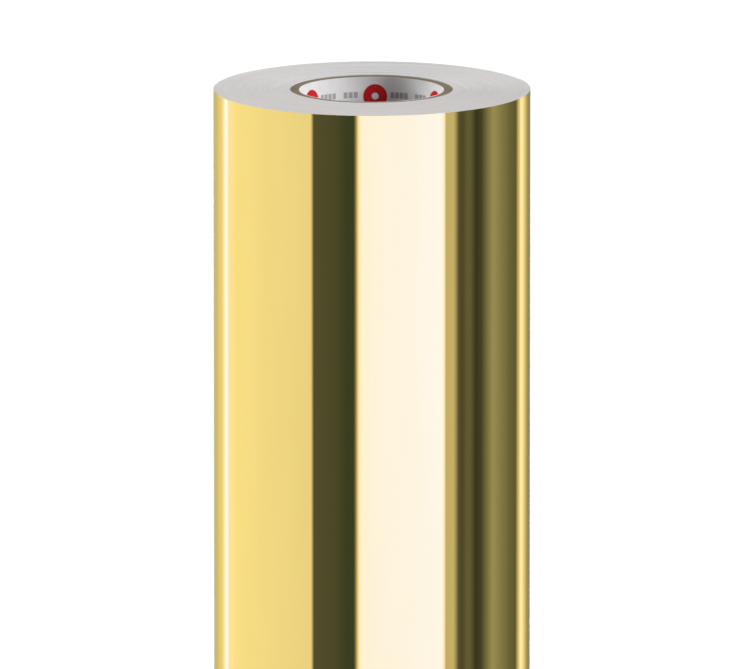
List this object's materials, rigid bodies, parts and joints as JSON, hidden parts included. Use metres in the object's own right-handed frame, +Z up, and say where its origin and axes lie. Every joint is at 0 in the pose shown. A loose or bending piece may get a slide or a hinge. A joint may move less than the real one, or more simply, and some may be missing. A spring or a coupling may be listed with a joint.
{
  "type": "roll of sign vinyl",
  "caption": "Roll of gold mirror sign vinyl on a board core, wound face out, with a loose tail that lifts off the roll and two strips of closing tape.",
  "frame": {"origin": "on the core's axis, at the end face that the roll stands on", "axes": "+Z up along the core's axis; the tail leaves the roll 20 degrees anticlockwise of +X and runs anticlockwise round the +Y side, so -Y is the plain front"},
  "size_m": [0.1674, 0.1676, 0.63],
  "materials": {
    "gold_film": "polished",
    "release_liner": "satin",
    "web_edge": "matte",
    "core_board": "matte",
    "core_print": "satin",
    "start_tape": "matte",
    "closing_tape": "matte"
  },
  "bodies": {
    "roll": {"core_lining": "core_print", "core_ply_1": "core_board", "core_ply_2": "core_board", "core_ply_3": "core_board", "core_ply_4": "core_board", "core_ply_5": "core_board", "core_ply_6": "core_board", "core_ply_7": "core_board", "core_ply_8": "core_board", "core_outer_ply": "core_board", "start_tape": "start_tape", "wound_web": "web_edge", "last_turn_film": "gold_film", "last_turn_liner": "release_liner"},
    "tail_1": {"tail_film_1": "gold_film", "tail_liner_1": "release_liner"},
    "tail_2": {"tail_film_2": "gold_film", "tail_liner_2": "release_liner"},
    "tail_3": {"tail_film_3": "gold_film", "tail_liner_3": "release_liner"},
    "tail_4": {"tail_film_4": "gold_film", "tail_liner_4": "release_liner"},
    "tail_5": {"tail_film_5": "gold_film", "tail_liner_5": "release_liner"},
    "tail_6": {"tail_film_6": "gold_film", "tail_liner_6": "release_liner"},
    "tail_7": {"tail_film_7": "gold_film", "tail_liner_7": "release_liner"},
    "tail_8": {"tail_film_8": "gold_film", "tail_liner_8": "release_liner"},
    "tail_9": {"tail_film_9": "gold_film", "tail_liner_9": "release_liner"},
    "tail_10": {"tail_film_10": "gold_film", "tail_liner_10": "release_liner", "closing_tape": "closing_tape"}
  },
  "joints": [
    {"name": "tail_lift", "type": "hinge", "parent": "roll", "child": "tail_1", "pos_m": [0.07898, 0.02875, 0.315], "axis": [0, 0, -1], "range_deg": [0, 6], "stiffness_Nm_per_rad": 0.14},
    {"name": "tail_bend_2", "type": "hinge", "parent": "tail_1", "child": "tail_2", "pos_m": [0.07128, 0.04454, 0.315], "axis": [0, 0, -1], "range_deg": [0, 12], "stiffness_Nm_per_rad": 0.14},
    {"name": "tail_bend_3", "type": "hinge", "parent": "tail_2", "child": "tail_3", "pos_m": [0.06046, 0.05839, 0.315], "axis": [0, 0, -1], "range_deg": [0, 12], "stiffness_Nm_per_rad": 0.14},
    {"name": "tail_bend_4", "type": "hinge", "parent": "tail_3", "child": "tail_4", "pos_m": [0.047, 0.06968, 0.315], "axis": [0, 0, -1], "range_deg": [0, 12], "stiffness_Nm_per_rad": 0.14},
    {"name": "tail_bend_5", "type": "hinge", "parent": "tail_4", "child": "tail_5", "pos_m": [0.03149, 0.07793, 0.315], "axis": [0, 0, -1], "range_deg": [0, 12], "stiffness_Nm_per_rad": 0.14},
    {"name": "tail_bend_6", "type": "hinge", "parent": "tail_5", "child": "tail_6", "pos_m": [0.0146, 0.08277, 0.315], "axis": [0, 0, -1], "range_deg": [0, 12], "stiffness_Nm_per_rad": 0.14},
    {"name": "tail_bend_7", "type": "hinge", "parent": "tail_6", "child": "tail_7", "pos_m": [-0.00293, 0.084, 0.315], "axis": [0, 0, -1], "range_deg": [0, 12], "stiffness_Nm_per_rad": 0.14},
    {"name": "tail_bend_8", "type": "hinge", "parent": "tail_7", "child": "tail_8", "pos_m": [-0.02033, 0.08155, 0.315], "axis": [0, 0, -1], "range_deg": [0, 12], "stiffness_Nm_per_rad": 0.14},
    {"name": "tail_bend_9", "type": "hinge", "parent": "tail_8", "child": "tail_9", "pos_m": [-0.03685, 0.07554, 0.315], "axis": [0, 0, -1], "range_deg": [0, 12], "stiffness_Nm_per_rad": 0.14},
    {"name": "tail_bend_10", "type": "hinge", "parent": "tail_9", "child": "tail_10", "pos_m": [-0.05175, 0.06623, 0.315], "axis": [0, 0, -1], "range_deg": [0, 12], "stiffness_Nm_per_rad": 0.14}
  ]
}
